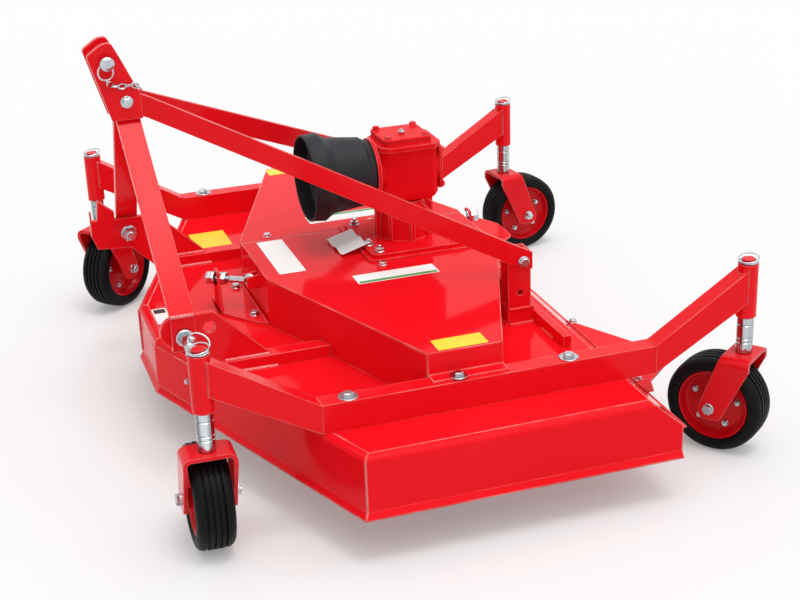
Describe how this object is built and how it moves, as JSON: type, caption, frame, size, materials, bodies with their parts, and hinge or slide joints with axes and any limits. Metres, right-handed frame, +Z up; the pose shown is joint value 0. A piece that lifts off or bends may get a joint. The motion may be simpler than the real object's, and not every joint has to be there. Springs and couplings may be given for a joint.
{
  "type": "finishing mower",
  "caption": "Rear three-point-hitch finishing mower with a belt-driven rotary blade deck, folded steel deck, top mast with braces and swivelling caster wheels.",
  "frame": {"origin": "midway between the shoulders of the two lower hitch pins, on their common axis", "axes": "+Z up, -Y towards the tractor, +X to the machine's left"},
  "size_m": [1.61, 1.3479, 0.862],
  "materials": {
    "red_paint": "gloss",
    "red_casting": "gloss",
    "plated_steel": "satin",
    "bright_steel": "satin",
    "blade_steel": "satin",
    "moulded_plastic": "matte",
    "tyre_rubber": "matte"
  },
  "bodies": {
    "mower_frame": {"belt_cover_left": "red_paint", "belt_cover_right": "red_paint", "blade_spindle_housings": "red_paint", "caster_tubes": "red_paint", "deck_front": "red_paint", "deck_rear": "red_paint", "deck_side_left": "red_paint", "deck_side_right": "red_paint", "deck_slant_left": "red_paint", "deck_slant_right": "red_paint", "deck_top": "red_paint", "gearbox_cover": "red_casting", "gearbox_flange": "red_casting", "gearbox_housing": "red_casting", "gearbox_stand": "red_casting", "hitch_plate_left": "red_paint", "hitch_plate_right": "red_paint", "hitch_rail_left": "red_paint", "hitch_rail_right": "red_paint", "lower_hitch_pin_left": "bright_steel", "lower_hitch_pin_right": "bright_steel", "mast_brace_left": "red_paint", "mast_brace_right": "red_paint", "mast_leg_left": "red_paint", "mast_leg_right": "red_paint", "mast_plate_left": "red_paint", "mast_plate_right": "red_paint", "pto_guard": "moulded_plastic", "rear_cross_bar": "red_paint", "rear_deflector_left": "red_paint", "rear_deflector_right": "red_paint", "rear_post_left": "red_paint", "rear_post_right": "red_paint", "side_beam_left": "red_paint", "side_beam_right": "red_paint", "tensioner_lugs": "red_paint", "tensioner_rods": "plated_steel", "top_link_pin": "bright_steel"},
    "caster_front_left": {"caster_fork_front_left": "red_paint", "caster_hardware_front_left": "plated_steel"},
    "wheel_front_left": {"wheel_rim_front_left": "red_paint", "tyre_front_left": "tyre_rubber"},
    "caster_front_right": {"caster_fork_front_right": "red_paint", "caster_hardware_front_right": "plated_steel"},
    "wheel_front_right": {"wheel_rim_front_right": "red_paint", "tyre_front_right": "tyre_rubber"},
    "caster_rear_left": {"caster_fork_rear_left": "red_paint", "caster_hardware_rear_left": "plated_steel"},
    "wheel_rear_left": {"wheel_rim_rear_left": "red_paint", "tyre_rear_left": "tyre_rubber"},
    "caster_rear_right": {"caster_fork_rear_right": "red_paint", "caster_hardware_rear_right": "plated_steel"},
    "wheel_rear_right": {"wheel_rim_rear_right": "red_paint", "tyre_rear_right": "tyre_rubber"},
    "blade_front": {"blade_rotor_front": "blade_steel"},
    "blade_left": {"blade_rotor_left": "blade_steel"},
    "blade_right": {"blade_rotor_right": "blade_steel"},
    "pto_input": {"pto_shaft": "bright_steel"}
  },
  "joints": [
    {"name": "swivel_front_left", "type": "hinge", "parent": "mower_frame", "child": "caster_front_left", "pos_m": [0.654, -0.028, -0.097], "axis": [0, 0, 1], "continuous": true},
    {"name": "wheel_spin_front_left", "type": "hinge", "parent": "caster_front_left", "child": "wheel_front_left", "pos_m": [0.60403, -0.02626, -0.219], "axis": [-0.0349, -0.9994, 0], "continuous": true},
    {"name": "swivel_front_right", "type": "hinge", "parent": "mower_frame", "child": "caster_front_right", "pos_m": [-0.654, -0.028, -0.097], "axis": [0, 0, 1], "continuous": true},
    {"name": "wheel_spin_front_right", "type": "hinge", "parent": "caster_front_right", "child": "wheel_front_right", "pos_m": [-0.68873, 0.00797, -0.219], "axis": [-0.7193, -0.6947, 0], "continuous": true},
    {"name": "swivel_rear_left", "type": "hinge", "parent": "mower_frame", "child": "caster_rear_left", "pos_m": [0.654, 1.097, -0.097], "axis": [0, 0, 1], "continuous": true},
    {"name": "wheel_spin_rear_left", "type": "hinge", "parent": "caster_rear_left", "child": "wheel_rear_left", "pos_m": [0.6146, 1.06622, -0.219], "axis": [0.6157, -0.788, 0], "continuous": true},
    {"name": "swivel_rear_right", "type": "hinge", "parent": "mower_frame", "child": "caster_rear_right", "pos_m": [-0.654, 1.097, -0.097], "axis": [0, 0, 1], "continuous": true},
    {"name": "wheel_spin_rear_right", "type": "hinge", "parent": "caster_rear_right", "child": "wheel_rear_right", "pos_m": [-0.66096, 1.14651, -0.219], "axis": [-0.9903, -0.1392, 0], "continuous": true},
    {"name": "blade_spin_front", "type": "hinge", "parent": "mower_frame", "child": "blade_front", "pos_m": [0, 0.3, -0.206], "axis": [0, 0, 1], "continuous": true},
    {"name": "blade_spin_left", "type": "hinge", "parent": "mower_frame", "child": "blade_left", "pos_m": [0.505, 0.5, -0.206], "axis": [0, 0, 1], "continuous": true},
    {"name": "blade_spin_right", "type": "hinge", "parent": "mower_frame", "child": "blade_right", "pos_m": [-0.505, 0.5, -0.206], "axis": [0, 0, 1], "continuous": true},
    {"name": "pto_spin", "type": "hinge", "parent": "mower_frame", "child": "pto_input", "pos_m": [0, 0.516, 0.181], "axis": [0, -1, 0], "continuous": true}
  ],
  "couplings": [
    {"joint": "blade_spin_left", "follows": "blade_spin_front", "ratio": 1},
    {"joint": "blade_spin_right", "follows": "blade_spin_front", "ratio": 1},
    {"joint": "pto_spin", "follows": "blade_spin_front", "ratio": 0.2}
  ]
}
